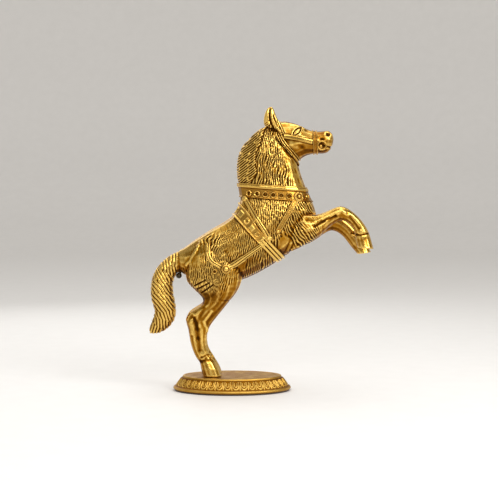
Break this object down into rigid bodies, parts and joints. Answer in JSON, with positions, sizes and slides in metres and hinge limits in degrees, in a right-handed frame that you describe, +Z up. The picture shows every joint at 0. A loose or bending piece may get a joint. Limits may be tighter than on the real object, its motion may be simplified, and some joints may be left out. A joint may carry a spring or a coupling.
{
  "type": "rearing horse statuette",
  "caption": "Cast metal statuette of a harnessed horse rearing on its hind legs, antique gold finish, on an oval plinth with a felt pad underneath.",
  "frame": {"origin": "middle of the felt pad's underside, where the statuette stands on the table", "axes": "+X the way the horse faces, +Y the horse's left, +Z up"},
  "size_m": [0.2354, 0.086, 0.2976],
  "materials": {
    "antique_gold": "polished antique gold with dark brown patina in the recesses",
    "harness_gold": "bright polished gold with dark edges",
    "plinth_gold": "satin antique gold, sandy on top",
    "zinc_steel": "zinc plated",
    "black_steel": "blackened and oiled",
    "felt": "pressed felt"
  },
  "bodies": {
    "root": {"tail": "antique_gold", "left_body_shell": "antique_gold", "right_body_shell": "antique_gold", "left_foreleg": "antique_gold", "right_foreleg": "antique_gold", "left_hind_leg": "antique_gold", "right_hind_leg": "antique_gold", "breast_collar": "harness_gold", "girth": "harness_gold", "throat_latch": "harness_gold", "noseband": "harness_gold", "left_collar_boss": "harness_gold", "right_collar_boss": "harness_gold", "left_rosette": "harness_gold", "right_rosette": "harness_gold", "left_withers_strap": "harness_gold", "right_withers_strap": "harness_gold", "left_shoulder_strap": "harness_gold", "right_shoulder_strap": "harness_gold", "left_trace_strap": "harness_gold", "right_trace_strap": "harness_gold", "left_hip_strap": "harness_gold", "right_hip_strap": "harness_gold", "left_cheek_strap": "harness_gold", "right_cheek_strap": "harness_gold", "left_bit_ring": "harness_gold", "right_bit_ring": "harness_gold", "plinth": "plinth_gold", "left_hoof_screw": "zinc_steel", "right_hoof_screw": "zinc_steel", "left_hoof_washer": "zinc_steel", "right_hoof_washer": "zinc_steel", "tail_screw": "black_steel", "felt_pad": "felt"}
  },
  "joints": []
}
